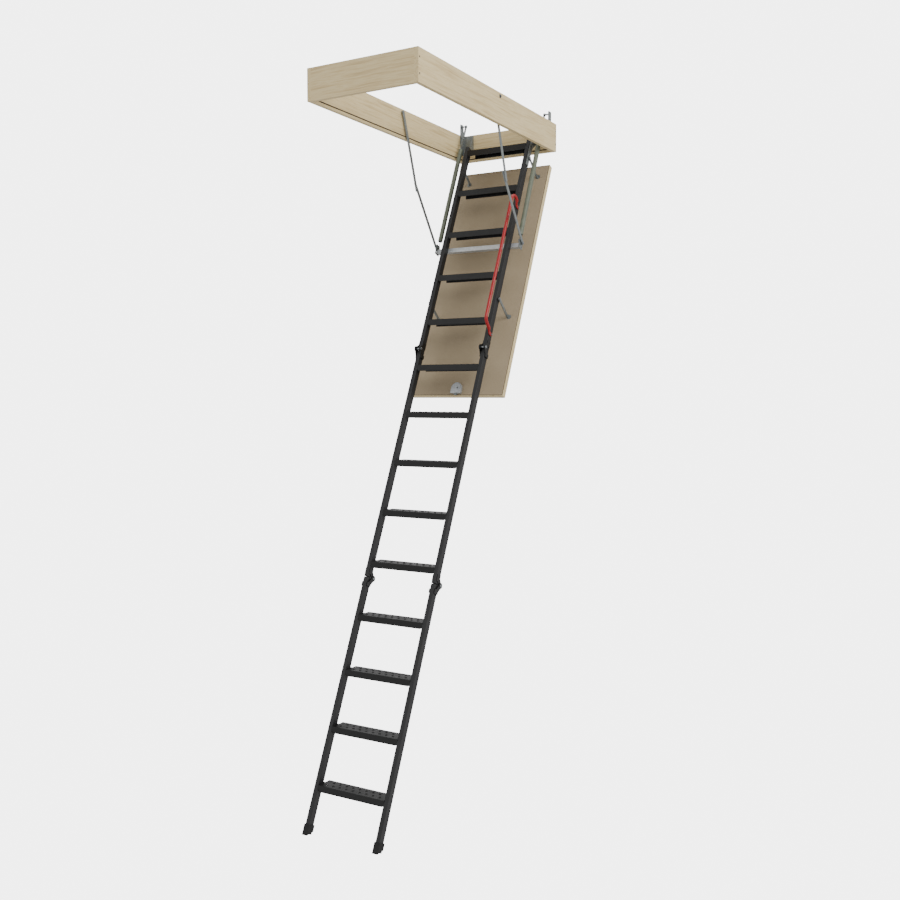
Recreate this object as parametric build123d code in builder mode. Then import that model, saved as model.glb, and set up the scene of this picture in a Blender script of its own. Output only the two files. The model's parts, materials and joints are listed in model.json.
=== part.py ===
from build123d import *
from math import atan2, cos, degrees, hypot, radians, sin, sqrt, tan
import os

# Attic ladder: a three-section folding steel ladder in a timber hatch casing.
# Millimetres, +Z up.  The origin is the centre of the casing opening in the
# ceiling plane.  +Y is the hinge end and the climbing side faces -Y.
# At rest the hatch is open and the ladder is let down and unfolded.

os.makedirs("parts", exist_ok=True)

# ---- driving dimensions -----------------------------------------------------
# casing
casing_length = 1430
casing_width = 590
casing_height = 149
board_thickness = 21
seal_centre_height = 15
seal_height = 6
seal_groove_depth = 5
seal_lip = 2
corner_screw_heights = (38, 108)
corner_screw_radius = 2.2

# hatch
hatch_gap = 4
hinge_end_gap = 9
hatch_thickness = 30
lining_thickness = 3
lipping_width = 18

# ladder
climb_angle = 65.9
front_line_y = 562.6
ladder_width = 400
stile_width = 21.5
stile_depth = 37
stile_wall = 1.5
stile_top = -65
tread_rise = 240.1
first_tread_height = 33
tread_going = 77
tread_front_height = 31
tread_back_height = 33.5
tread_sheet = 2
tread_proud = 6.4
tread_corner = 12
tread_nest_inset = 8
tread_hole_radius = 4
tread_hole_pitch = 36
tread_holes_front = 9
treads_per_section = (5, 5, 4)
upper_fold_s = 1190
lower_fold_s = 2407
fold_pin_offset = 9
foot_s = 3603
foot_height = 46
foot_wall = 4

# swing pivot, hatch struts, arms and springs (Y and Z in the row frame)
hinge_y = 670
hinge_z = 64
hinge_pin_radius = 6
hatch_offset = 144
hatch_top_s = 13
strut_pin_depth = 22
strut_pin_height = 10
strut_lean = 38
strut_stations = (72, 928)
strut_width = 16
strut_thickness = 4
arm_top_y = 44
arm_top_z = 131
arm_upper_length = 396
arm_lower_length = 352.5
arm_foot_s = 563.5
arm_foot_depth = 45.3
arm_width = 18
arm_thickness = 4
arm_knee_overlap = 38
anchor_y = 672
anchor_z = 196
hook_s = 554
hook_depth = 34.6
spring_x = 243
sleeve_radius = 12.5
sleeve_wall = 1.5
sleeve_start = 156
sleeve_length = 586
strap_width = 16
strap_thickness = 3
strap_overlap = 15

# handrail
rail_radius = 8.25
rail_x = 211
rail_stand_off = 78
rail_bend_radius = 34
rail_top_s = 361
rail_bottom_s = 1107
rail_top_lead = 64
rail_bottom_lead = 38

# lock
bolt_height = 7
mortise_width = 22
mortise_height = 12
mortise_depth = 14
striker_width = 60
striker_height = 30

# bolts and pins
plate_bolt_stations = (-46, 72)
plate_bolt_radius = 3.4
strut_pin_radius = 4
rail_bolt_radius = 3

# clearances
pin_clearance = 0.1
side_clearance = 0.3
plate = 3

# ---- values worked out from the driving dimensions -------------------------
screw_reach = 24
latch_z = hatch_thickness + bolt_height
half_length = casing_length / 2
half_width = casing_width / 2
inner_half_length = half_length - board_thickness
inner_half_width = half_width - board_thickness
hatch_width = 2 * (inner_half_width - hatch_gap)
hatch_length = 2 * inner_half_length - hatch_gap - hinge_end_gap
stile_outer = ladder_width / 2
stile_inner = stile_outer - stile_width
climb = radians(climb_angle)
down_y, down_z = -cos(climb), -sin(climb)
back_y, back_z = sin(climb), -cos(climb)
bracket_face = inner_half_width - plate
ear_x = stile_outer + 6
hinge_plate_thickness = 4
strut_x = stile_outer + hinge_plate_thickness + 1
arm_upper_x = inner_half_width - 12
arm_lower_x = arm_upper_x - arm_thickness - 1
gusset_x = spring_x + 7


def on_ladder(x, s, depth):
    """Point at x, s down the slope from the ceiling plane, depth behind the front."""
    return Vector(
        x,
        front_line_y + s * down_y + depth * back_y,
        s * down_z + depth * back_z,
    )


def ladder_side(x):
    """Plane across the ladder at x: local x runs down the slope, local y to the back."""
    return Plane(origin=on_ladder(x, 0, 0), x_dir=(0, down_y, down_z), z_dir=(1, 0, 0))


def ladder_face(depth):
    """Plane along the ladder: local x is X, local y runs down the slope."""
    return Plane(origin=on_ladder(0, 0, depth), x_dir=(1, 0, 0), z_dir=(0, back_y, back_z))


def ladder_cut(s):
    """Plane square to the slope at s: local x is X, local y points to the front."""
    return Plane(origin=on_ladder(0, s, 0), x_dir=(1, 0, 0), z_dir=(0, down_y, down_z))


def to_ladder(y, z):
    """The (s, depth) of a point given by Y and Z."""
    dy = y - front_line_y
    return dy * down_y + z * down_z, dy * back_y + z * back_z


hinge_s, hinge_depth = to_ladder(hinge_y, hinge_z)
arm_foot = on_ladder(0, arm_foot_s, arm_foot_depth)
hook_point = on_ladder(0, hook_s, hook_depth)


def save(part, name):
    part.label = name
    export_step(part, f"parts/{name}.step")


# ---- casing -----------------------------------------------------------------
def casing_side(sign):
    with BuildPart() as board:
        with Locations((sign * (half_width - board_thickness / 2), 0, casing_height / 2)):
            Box(board_thickness, casing_length, casing_height)
        groove_x = sign * (inner_half_width + seal_groove_depth / 2)
        with Locations((groove_x, 0, seal_centre_height)):
            Box(seal_groove_depth, 2 * inner_half_length, seal_height, mode=Mode.SUBTRACT)
        outer = Plane.YZ.offset(sign * half_width)
        for end in (-1, 1):
            for height in corner_screw_heights:
                with BuildSketch(outer):
                    with Locations((end * (half_length - board_thickness / 2), height)):
                        Circle(corner_screw_radius)
                extrude(amount=-sign * board_thickness, mode=Mode.SUBTRACT)
                with BuildSketch(outer):
                    with Locations((end * (half_length - board_thickness / 2), height)):
                        Circle(2 * corner_screw_radius)
                extrude(amount=-sign * 3, mode=Mode.SUBTRACT)
        with BuildSketch(outer):
            with Locations((arm_top_y, arm_top_z)):
                Circle(4)
        extrude(amount=-sign * board_thickness, mode=Mode.SUBTRACT)
        arris = board.edges().filter_by(Axis.Y).group_by(Axis.Z)
        fillet(arris[0] + arris[-1], radius=1)
    return board.part


def casing_end(sign):
    with BuildPart() as board:
        with Locations((0, sign * (half_length - board_thickness / 2), casing_height / 2)):
            Box(2 * inner_half_width, board_thickness, casing_height)
        with Locations((0, sign * (inner_half_length + seal_groove_depth / 2), seal_centre_height)):
            Box(2 * inner_half_width, seal_groove_depth, seal_height, mode=Mode.SUBTRACT)
        for side in (-1, 1):
            for height in corner_screw_heights:
                with BuildSketch(Plane.YZ.offset(side * inner_half_width)):
                    with Locations((sign * (half_length - board_thickness / 2), height)):
                        Circle(corner_screw_radius)
                extrude(amount=-side * screw_reach, mode=Mode.SUBTRACT)
        if sign < 0:
            with Locations((0, -inner_half_length - mortise_depth / 2, latch_z)):
                Box(mortise_width, mortise_depth, mortise_height, mode=Mode.SUBTRACT)
        arris = board.edges().filter_by(Axis.X).group_by(Axis.Z)
        fillet(arris[0] + arris[-1], radius=1)
    return board.part


save(casing_side(-1), "casing_side_left")
save(casing_side(1), "casing_side_right")
save(casing_end(1), "casing_end_hinge")
save(casing_end(-1), "casing_end_lock")

with BuildPart() as casing_seal:
    with BuildSketch(Plane.XY.offset(seal_centre_height - seal_height / 2)):
        Rectangle(
            2 * (inner_half_width + seal_groove_depth),
            2 * (inner_half_length + seal_groove_depth),
        )
        Rectangle(
            2 * (inner_half_width - seal_lip),
            2 * (inner_half_length - seal_lip),
            mode=Mode.SUBTRACT,
        )
        for corner_x in (-1, 1):
            for corner_y in (-1, 1):
                with Locations(
                    (
                        corner_x * (inner_half_width + seal_groove_depth / 2),
                        corner_y * (inner_half_length + seal_groove_depth / 2),
                    )
                ):
                    Rectangle(seal_groove_depth, seal_groove_depth, mode=Mode.SUBTRACT)
    extrude(amount=seal_height)
save(casing_seal.part, "casing_seal")

# hinge bracket: a corner leg, a back plate on the end board and an ear
leg_width = 36
leg_bottom = 40
leg_top = 211
leg_screw_heights = (leg_bottom + 30, leg_bottom + 58)
ear_top = casing_height - 3
ear_radius = 16

with BuildPart() as hinge_brackets:
    for side in (-1, 1):
        leg_y = inner_half_length - leg_width / 2
        with BuildSketch(Plane.YZ.offset(side * inner_half_width)):
            with Locations((leg_y, (leg_bottom + leg_top) / 2)):
                RectangleRounded(leg_width, leg_top - leg_bottom, 8)
            with Locations((leg_y, leg_top - 42)):
                Circle(3, mode=Mode.SUBTRACT)
            with Locations((anchor_y, anchor_z)):
                Circle(4 + pin_clearance, mode=Mode.SUBTRACT)
        extrude(amount=-side * plate)
        back_width = inner_half_width - ear_x
        with Locations(
            (
                side * (ear_x + back_width / 2),
                inner_half_length - plate / 2,
                (leg_bottom + ear_top) / 2,
            )
        ):
            Box(back_width, plate, ear_top - leg_bottom)
        with BuildSketch(Plane.YZ.offset(side * ear_x)):
            Polygon(
                (inner_half_length, leg_bottom),
                (inner_half_length, ear_top),
                (inner_half_length - 9, ear_top),
                (hinge_y - ear_radius * 0.97, hinge_z + 4),
                (hinge_y - 2, hinge_z - ear_radius),
                (hinge_y + 6, leg_bottom),
                align=None,
            )
            with Locations((hinge_y, hinge_z)):
                Circle(ear_radius)
                Circle(hinge_pin_radius + pin_clearance, mode=Mode.SUBTRACT)
        extrude(amount=side * plate)
save(hinge_brackets.part, "hinge_brackets")

with BuildPart() as casing_screws:
    for side in (-1, 1):
        for end in (-1, 1):
            for height in corner_screw_heights:
                centre = (end * (half_length - board_thickness / 2), height)
                with BuildSketch(Plane.YZ.offset(side * (half_width - 0.6))):
                    with Locations(centre):
                        Circle(2 * corner_screw_radius)
                extrude(amount=-side * 2.4)
                with BuildSketch(Plane.YZ.offset(side * (half_width - 3))):
                    with Locations(centre):
                        Circle(corner_screw_radius)
                extrude(amount=-side * (board_thickness - 3 + screw_reach - 2))
        # round heads that hold the hinge brackets' legs to the long boards
        for height in leg_screw_heights:
            with BuildSketch(Plane.YZ.offset(side * bracket_face)):
                with Locations((inner_half_length - leg_width / 2, height)):
                    Circle(5)
            extrude(amount=-side * 2.5)
save(casing_screws.part, "casing_screws")

with BuildPart() as striker_plate:
    with BuildSketch(Plane.XZ.offset(inner_half_length)):
        with Locations((0, latch_z + 8)):
            RectangleRounded(striker_width, striker_height, 4)
        with Locations((0, latch_z)):
            Rectangle(mortise_width, mortise_height, mode=Mode.SUBTRACT)
        with Locations((-23, latch_z + 8), (23, latch_z + 8)):
            Circle(2.2, mode=Mode.SUBTRACT)
    extrude(amount=-1.5)
save(striker_plate.part, "striker_plate")

# ---- pivots that turn in the casing ------------------------------------------
with BuildPart() as hinge_pins:
    for side in (-1, 1):
        with BuildSketch(Plane.YZ.offset(side * (stile_outer - 0.5 + 1))):
            with Locations((hinge_y, hinge_z)):
                Circle(hinge_pin_radius)
        extrude(amount=side * (ear_x + plate - stile_outer + 2))
        with BuildSketch(Plane.YZ.offset(side * (ear_x + plate + side_clearance))):
            with Locations((hinge_y, hinge_z)):
                Circle(hinge_pin_radius + 4)
        extrude(amount=side * 4)
save(hinge_pins.part, "hinge_pins")

arm_bolt_radius = 4
with BuildPart() as arm_bolts:
    for side in (-1, 1):
        with BuildSketch(Plane.YZ.offset(side * half_width)):
            with Locations((arm_top_y, arm_top_z)):
                Circle(8)
        extrude(amount=side * 3, taper=20)
        with BuildSketch(Plane.YZ.offset(side * half_width)):
            with Locations((arm_top_y, arm_top_z)):
                Circle(arm_bolt_radius - 0.05)
        extrude(amount=-side * (half_width - arm_upper_x + 0.7))
        with BuildSketch(Plane.YZ.offset(side * (inner_half_width - 0.3))):
            with Locations((arm_top_y, arm_top_z)):
                Circle(7.5)
        extrude(amount=-side * (inner_half_width - arm_upper_x - arm_thickness - 0.6))
save(arm_bolts.part, "arm_bolts")

with BuildPart() as anchor_pins:
    for side in (-1, 1):
        with BuildSketch(Plane.YZ.offset(side * (inner_half_width - 0.3))):
            with Locations((anchor_y, anchor_z)):
                Circle(4)
        extrude(amount=-side * (inner_half_width - spring_x + strap_thickness + 1))
        for shoulder in (spring_x + 2, bracket_face - 3.3):
            with BuildSketch(Plane.YZ.offset(side * shoulder)):
                with Locations((anchor_y, anchor_z)):
                    Circle(7)
            extrude(amount=side * 3)
        with BuildSketch(Plane.YZ.offset(side * (spring_x - 2))):
            with Locations((anchor_y, anchor_z)):
                Circle(7)
        extrude(amount=-side * 2.5)
save(anchor_pins.part, "anchor_pins")


# ---- ladder sections -------------------------------------------------------
fold_gap = 2
section_ends = (
    (stile_top, upper_fold_s - fold_gap),
    (upper_fold_s + fold_gap, lower_fold_s - fold_gap),
    (lower_fold_s + fold_gap, foot_s - foot_wall),
)
fold_rivet_radius = 4
fold_lobe_radius = 14
leaf_reach = {"outer": 46, "inner": 44}
leaf_start = {"fixed": 14, "moving": 25}


def stile(side, start, end, holes):
    """Rectangular steel tube, its outer wall drilled at each (s, depth, radius)."""
    centre = (side * (stile_outer - stile_width / 2), -stile_depth / 2)
    with BuildPart() as tube:
        with BuildSketch(ladder_cut(start)):
            with Locations(centre):
                RectangleRounded(stile_width, stile_depth, 2)
                Rectangle(
                    stile_width - 2 * stile_wall,
                    stile_depth - 2 * stile_wall,
                    mode=Mode.SUBTRACT,
                )
        extrude(amount=end - start)
        for s, depth, radius in holes:
            with BuildSketch(ladder_side(side * stile_outer)):
                with Locations((s, depth)):
                    Circle(radius + pin_clearance)
            extrude(amount=-side * stile_wall, mode=Mode.SUBTRACT)
    return tube.part


# bolts through the upper stiles: hinge plates, struts and (right side) the handrail
mid_depth = stile_depth / 2
plate_bolts = [(s, mid_depth, plate_bolt_radius) for s in plate_bolt_stations]
strut_pins = [
    (hatch_top_s + station - strut_lean, strut_pin_depth, strut_pin_radius)
    for station in strut_stations
]
rail_bolts = [(s, mid_depth, rail_bolt_radius) for s in (rail_top_s, rail_bottom_s)]
drillings = {
    ("upper", -1): plate_bolts + strut_pins,
    ("upper", 1): plate_bolts + strut_pins + rail_bolts,
}
for section, (start, end) in zip(("upper", "middle", "lower"), section_ends):
    for side, hand in ((-1, "left"), (1, "right")):
        holes = drillings.get((section, side), [])
        save(stile(side, start, end, holes), f"stile_{section}_{hand}")


def tread(index):
    """Folded sheet tread: level top, front and back flanges, open below."""
    top = first_tread_height - index * tread_rise
    front = front_line_y + top / tan(climb) - tread_proud
    middle = front + tread_going / 2
    half = stile_inner
    s_mid, d_mid = to_ladder(middle, top)
    with BuildPart() as step:
        with Locations((0, middle, top - tread_sheet / 2)):
            Box(2 * half, tread_going, tread_sheet)
        with BuildSketch(Plane.XZ.offset(-front)):
            with Locations((0, top - tread_front_height / 2)):
                flange = Rectangle(2 * half, tread_front_height)
            fillet(flange.vertices().group_by(Axis.Y)[0], radius=tread_corner)
        extrude(amount=-tread_sheet)
        with Locations(
            (0, front + tread_going - tread_sheet / 2, top - tread_back_height / 2)
        ):
            Box(2 * (half - tread_nest_inset), tread_sheet, tread_back_height)
        # the part behind the stiles is narrower, so folded sections nest
        for end in (-1, 1):
            with BuildSketch(ladder_side(end * half)):
                with Locations((s_mid, stile_depth + 1 + 40)):
                    Rectangle(160, 80)
            extrude(amount=-end * tread_nest_inset, mode=Mode.SUBTRACT)
        rows = (
            (front + tread_going * 0.3, tread_holes_front),
            (front + tread_going * 0.68, tread_holes_front - 1),
        )
        for row_y, count in rows:
            with BuildSketch(Plane.XY.offset(top)):
                with Locations((0, row_y)):
                    with GridLocations(tread_hole_pitch, 1, count, 1):
                        Circle(tread_hole_radius)
            extrude(amount=-tread_sheet, mode=Mode.SUBTRACT)
    return step.part


for index in range(sum(treads_per_section)):
    save(tread(index), f"tread_{index + 1:02d}")


def fold_leaves(pin_s, pin_depth, toward, reach_x):
    """Two leaves per stile, outer and inner, whose lobes carry the fold pin.

    toward is -1 for the section above the pin and +1 for the one below.
    reach_x is how far the lobe stands off the stile's face.
    """
    body_from = leaf_start["moving" if reach_x > 0 else "fixed"]
    lobe_side = -1 if pin_depth < 0 else 1
    near_edge = 0 if pin_depth < 0 else stile_depth
    with BuildPart() as leaves:
        for side in (-1, 1):
            for wall, face, out in (("outer", stile_outer, 1), ("inner", stile_inner, -1)):
                body_length = leaf_reach[wall] - body_from
                body_mid = pin_s + toward * (body_from + body_length / 2)
                with BuildSketch(ladder_side(side * face)):
                    with Locations((body_mid, stile_depth / 2)):
                        Rectangle(body_length, stile_depth - 8)
                extrude(amount=side * out * (reach_x + plate))
                with BuildSketch(ladder_side(side * (face + out * reach_x))):
                    with Locations((pin_s, pin_depth)):
                        Circle(fold_lobe_radius)
                    Polygon(
                        (pin_s, pin_depth + lobe_side * fold_lobe_radius),
                        (pin_s, pin_depth - lobe_side * fold_lobe_radius),
                        (body_mid, near_edge - lobe_side * (stile_depth - 4)),
                        (body_mid, near_edge - lobe_side * 4),
                        align=None,
                    )
                    with Locations((pin_s, pin_depth)):
                        Circle(fold_rivet_radius + pin_clearance, mode=Mode.SUBTRACT)
                extrude(amount=side * out * plate)
    return leaves.part


def fold_rivets(pin_s, pin_depth):
    """One rivet through all four lobes at each stile, with a domed head each end."""
    outer_end = stile_outer + 2 * plate + side_clearance + side_clearance
    inner_end = stile_inner - 2 * plate - 2 * side_clearance
    with BuildPart() as rivets:
        for side in (-1, 1):
            with BuildSketch(ladder_side(side * inner_end)):
                with Locations((pin_s, pin_depth)):
                    Circle(fold_rivet_radius)
            extrude(amount=side * (outer_end - inner_end))
            for face, out in ((outer_end, 1), (inner_end, -1)):
                with BuildSketch(ladder_side(side * face)):
                    with Locations((pin_s, pin_depth)):
                        Circle(7)
                extrude(amount=side * out * 2.5, taper=25)
    return rivets.part


lobe_step = plate + side_clearance
upper_fold_depth = -fold_pin_offset
lower_fold_depth = stile_depth + fold_pin_offset
save(fold_leaves(upper_fold_s, upper_fold_depth, -1, 0), "fold_leaf_upper_fixed")
save(fold_leaves(upper_fold_s, upper_fold_depth, 1, lobe_step), "fold_leaf_upper_moving")
save(fold_rivets(upper_fold_s, upper_fold_depth), "fold_rivets_upper")
save(fold_leaves(lower_fold_s, lower_fold_depth, -1, 0), "fold_leaf_lower_fixed")
save(fold_leaves(lower_fold_s, lower_fold_depth, 1, lobe_step), "fold_leaf_lower_moving")
save(fold_rivets(lower_fold_s, lower_fold_depth), "fold_rivets_lower")

# rubber shoes: closed sole, sleeve around the stile's end
with BuildPart() as feet:
    for side in (-1, 1):
        centre = (side * (stile_outer - stile_width / 2), -stile_depth / 2)
        with BuildSketch(ladder_cut(foot_s - foot_height)):
            with Locations(centre):
                RectangleRounded(stile_width + 2 * foot_wall, stile_depth + 2 * foot_wall, 3)
                Rectangle(stile_width, stile_depth, mode=Mode.SUBTRACT)
        extrude(amount=foot_height - foot_wall)
        with BuildSketch(ladder_cut(foot_s - foot_wall)):
            with Locations(centre):
                RectangleRounded(stile_width + 2 * foot_wall, stile_depth + 2 * foot_wall, 3)
        extrude(amount=16)
    # the sole is cut level, to stand on the floor
    sole_level = on_ladder(0, foot_s, 0).Z
    with Locations((0, on_ladder(0, foot_s, 0).Y, sole_level - 50)):
        Box(600, 300, 100, mode=Mode.SUBTRACT)
save(feet.part, "feet")

# ---- hinge plates, crossbar, rail on the upper section ------------------------
with BuildPart() as hinge_plates:
    for side in (-1, 1):
        with BuildSketch(ladder_side(side * stile_outer)):
            Polygon(
                (95, 5),
                (95, stile_depth - 5),
                (-20, stile_depth - 2),
                (hinge_s + 8, hinge_depth + 13),
                (hinge_s - 14, hinge_depth + 4),
                (hinge_s - 8, hinge_depth - 13),
                (-62, 5),
                align=None,
            )
            with Locations((hinge_s, hinge_depth)):
                Circle(15)
                Circle(hinge_pin_radius + pin_clearance, mode=Mode.SUBTRACT)
            with Locations(*[(s, mid_depth) for s in (*plate_bolt_stations, -24, -2)]):
                Circle(plate_bolt_radius + pin_clearance, mode=Mode.SUBTRACT)
            with Locations((strut_pins[0][0], strut_pin_depth)):
                Circle(strut_pin_radius + pin_clearance, mode=Mode.SUBTRACT)
        extrude(amount=side * hinge_plate_thickness)
save(hinge_plates.part, "hinge_plates")

crossbar_half = gusset_x
crossbar_s = 578
crossbar_leg = 25
with BuildPart() as crossbar:
    with BuildSketch(ladder_side(-crossbar_half)):
        with Locations((crossbar_s, stile_depth + 1.25)):
            Rectangle(crossbar_leg, 2.5)
        with Locations((crossbar_s + crossbar_leg / 2 - 1.25, stile_depth + 1.25 + 8)):
            Rectangle(2.5, 18)
    extrude(amount=2 * crossbar_half)
save(crossbar.part, "crossbar")

with BuildPart() as arm_gussets:
    for side in (-1, 1):
        with BuildSketch(ladder_side(side * gusset_x)):
            Polygon(
                (arm_foot_s - 24, hook_depth - 12),
                (arm_foot_s - 24, arm_foot_depth + 8),
                (arm_foot_s - 6, arm_foot_depth + 16),
                (crossbar_s + 18, arm_foot_depth + 16),
                (crossbar_s + 18, hook_depth - 12),
                align=None,
            )
            with Locations((crossbar_s + 4, hook_depth - 2), (crossbar_s + 8, arm_foot_depth + 6)):
                Circle(4, mode=Mode.SUBTRACT)
            with Locations((arm_foot_s, arm_foot_depth)):
                Circle(arm_bolt_radius + pin_clearance, mode=Mode.SUBTRACT)
        extrude(amount=side * plate)
        with BuildSketch(ladder_side(side * gusset_x)):
            with Locations((hook_s, hook_depth)):
                Circle(4.5)
        extrude(amount=-side * (gusset_x - spring_x - 2.5))
save(arm_gussets.part, "arm_gussets")

with BuildPart() as arm_foot_pins:
    for side in (-1, 1):
        with BuildSketch(ladder_side(side * (gusset_x + 0.2))):
            with Locations((arm_foot_s, arm_foot_depth)):
                Circle(arm_bolt_radius)
        extrude(amount=side * (arm_lower_x + arm_thickness + 0.4 - gusset_x))
        with BuildSketch(ladder_side(side * (arm_lower_x + arm_thickness + side_clearance))):
            with Locations((arm_foot_s, arm_foot_depth)):
                Circle(7)
        extrude(amount=side * 2)
save(arm_foot_pins.part, "arm_foot_pins")

rail_tab_gap = 4
with BuildPart() as handrail:
    corners = [
        (rail_top_s, 0),
        (rail_top_s - rail_top_lead, -rail_stand_off),
        (rail_bottom_s - rail_bottom_lead, -rail_stand_off),
        (rail_bottom_s, 0),
    ]
    with BuildLine(ladder_side(rail_x)) as path:
        FilletPolyline(*corners, radius=rail_bend_radius)
    with BuildSketch(Plane(origin=path.line @ 0, z_dir=path.line % 0)):
        Circle(rail_radius)
    sweep()
    for s in (rail_top_s, rail_bottom_s):
        with BuildSketch(ladder_side(stile_outer)):
            with Locations((s, stile_depth / 4)):
                SlotCenterToCenter(stile_depth / 2, 16, rotation=90)
            with Locations((s, stile_depth / 2)):
                Circle(rail_bolt_radius + pin_clearance, mode=Mode.SUBTRACT)
        extrude(amount=rail_x - stile_outer - rail_tab_gap)
save(handrail.part, "handrail")

with BuildPart() as ladder_bolts:
    plate_face = stile_outer + hinge_plate_thickness
    strut_face = strut_x + strut_thickness + side_clearance
    rail_face = rail_x - rail_tab_gap
    for side in (-1, 1):
        runs = [(bolts, plate_face) for bolts in plate_bolts]
        runs += [(bolts, strut_face) for bolts in strut_pins]
        if side > 0:
            runs += [(bolts, rail_face) for bolts in rail_bolts]
        for (s, depth, radius), face in runs:
            with BuildSketch(ladder_side(side * (stile_outer - stile_wall))):
                with Locations((s, depth)):
                    Circle(radius)
            extrude(amount=side * (face - stile_outer + stile_wall))
            with BuildSketch(ladder_side(side * face)):
                with Locations((s, depth)):
                    Circle(1.8 * radius)
            extrude(amount=side * 3, taper=15)
save(ladder_bolts.part, "ladder_bolts")

# ---- hatch and its struts ------------------------------------------------------
hatch_bottom_s = hatch_top_s + hatch_length
hatch_mid_s = (hatch_top_s + hatch_bottom_s) / 2


def hatch_layer(depth, thickness, width, length):
    with BuildPart() as layer:
        with BuildSketch(ladder_face(hatch_offset + depth)):
            with Locations((0, hatch_mid_s)):
                Rectangle(width, length)
        extrude(amount=thickness)
    return layer.part


core_thickness = hatch_thickness - 2 * lining_thickness
board_width = hatch_width - 2 * lining_thickness
board_length = hatch_length - 2 * lining_thickness
save(hatch_layer(0, lining_thickness, board_width, board_length), "hatch_lining_attic")
save(
    hatch_layer(
        lining_thickness,
        core_thickness,
        hatch_width - 2 * lipping_width,
        hatch_length - 2 * lipping_width,
    ),
    "hatch_core",
)
save(
    hatch_layer(hatch_thickness - lining_thickness, lining_thickness, board_width, board_length),
    "hatch_lining_room",
)

with BuildPart() as hatch_frame:
    with BuildSketch(ladder_face(hatch_offset)):
        with Locations((0, hatch_mid_s)):
            Rectangle(hatch_width, hatch_length)
            Rectangle(
                hatch_width - 2 * lipping_width,
                hatch_length - 2 * lipping_width,
                mode=Mode.SUBTRACT,
            )
    extrude(amount=hatch_thickness)
    for depth in (0, hatch_thickness - lining_thickness):
        with BuildSketch(ladder_face(hatch_offset + depth)):
            with Locations((0, hatch_mid_s)):
                Rectangle(board_width, board_length)
        extrude(amount=lining_thickness, mode=Mode.SUBTRACT)
save(hatch_frame.part, "hatch_frame")

strut_rise = hatch_offset - strut_pin_height - strut_pin_depth
strut_length = hypot(strut_lean, strut_rise)
strut_turn = degrees(atan2(strut_rise, strut_lean))


def struts(station):
    """A pair of flat links from the stiles to the hatch, one each side."""
    top_s = hatch_top_s + station - strut_lean
    with BuildPart() as pair:
        for side in (-1, 1):
            with BuildSketch(ladder_side(side * strut_x)):
                with Locations(Location((top_s, strut_pin_depth, 0), (0, 0, strut_turn))):
                    with Locations((strut_length / 2, 0)):
                        SlotCenterToCenter(strut_length, strut_width)
                    with Locations((0, 0), (strut_length, 0)):
                        Circle(4 + pin_clearance, mode=Mode.SUBTRACT)
            extrude(amount=side * strut_thickness)
    return pair.part


save(struts(strut_stations[0]), "struts_upper")
save(struts(strut_stations[1]), "struts_lower")

foot_ear_x = strut_x + strut_thickness + side_clearance
with BuildPart() as strut_feet:
    for side in (-1, 1):
        for station in strut_stations:
            foot_s_here = hatch_top_s + station
            pin_depth = hatch_offset - strut_pin_height
            with BuildSketch(ladder_face(hatch_offset)):
                with Locations((side * (foot_ear_x + 4), foot_s_here)):
                    Circle(13)
            extrude(amount=-1.7)
            with BuildSketch(ladder_side(side * foot_ear_x)):
                with Locations((foot_s_here, pin_depth)):
                    Circle(8)
                with Locations((foot_s_here, hatch_offset - strut_pin_height / 2)):
                    Rectangle(16, strut_pin_height)
            extrude(amount=side * plate)
            with BuildSketch(ladder_side(side * (strut_x - 0.5))):
                with Locations((foot_s_here, pin_depth)):
                    Circle(4)
            extrude(amount=side * (foot_ear_x + 1 - strut_x))
save(strut_feet.part, "strut_feet")

# ---- lock --------------------------------------------------------------------
lock_width = 59
lock_height = 14
bolt_width = 16
bolt_thickness = 7
lock_end_s = hatch_bottom_s - 10
with BuildPart() as lock_case:
    with BuildSketch(ladder_face(hatch_offset)):
        with Locations((0, lock_end_s - lock_width / 4)):
            Rectangle(lock_width, lock_width / 2)
        with Locations((0, lock_end_s - lock_width / 2)):
            Circle(lock_width / 2)
    extrude(amount=-lock_height)
    with BuildSketch(ladder_face(hatch_offset)):
        with Locations((0, lock_end_s - 20)):
            Rectangle(bolt_width + 0.6, 41)
    extrude(amount=-(lock_height - 3), mode=Mode.SUBTRACT)
    with BuildSketch(ladder_face(hatch_offset - lock_height)):
        with Locations((7, lock_end_s - lock_width / 2)):
            Circle(5)
    extrude(amount=4, mode=Mode.SUBTRACT)
save(lock_case.part, "lock_case")

latch_depth = latch_z - hatch_thickness
with BuildPart() as latch_bolt:
    with BuildSketch(ladder_face(hatch_offset - latch_depth - bolt_thickness / 2)):
        with Locations((0, hatch_bottom_s - 22)):
            Rectangle(bolt_width, 40)
    extrude(amount=bolt_thickness)
    fillet(latch_bolt.edges().filter_by(Axis.X).group_by(Axis.Z)[0], radius=2)
save(latch_bolt.part, "latch_bolt")

# ---- telescopic arms with a knee --------------------------------------------------
reach = hypot(arm_foot.Y - arm_top_y, arm_foot.Z - arm_top_z)
aim = atan2(arm_foot.Z - arm_top_z, arm_foot.Y - arm_top_y)
knee_along = (arm_upper_length**2 - arm_lower_length**2 + reach**2) / (2 * reach)
knee_off = sqrt(arm_upper_length**2 - knee_along**2)
knee_y = arm_top_y + knee_along * cos(aim) + knee_off * sin(aim)
knee_z = arm_top_z + knee_along * sin(aim) - knee_off * cos(aim)


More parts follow.
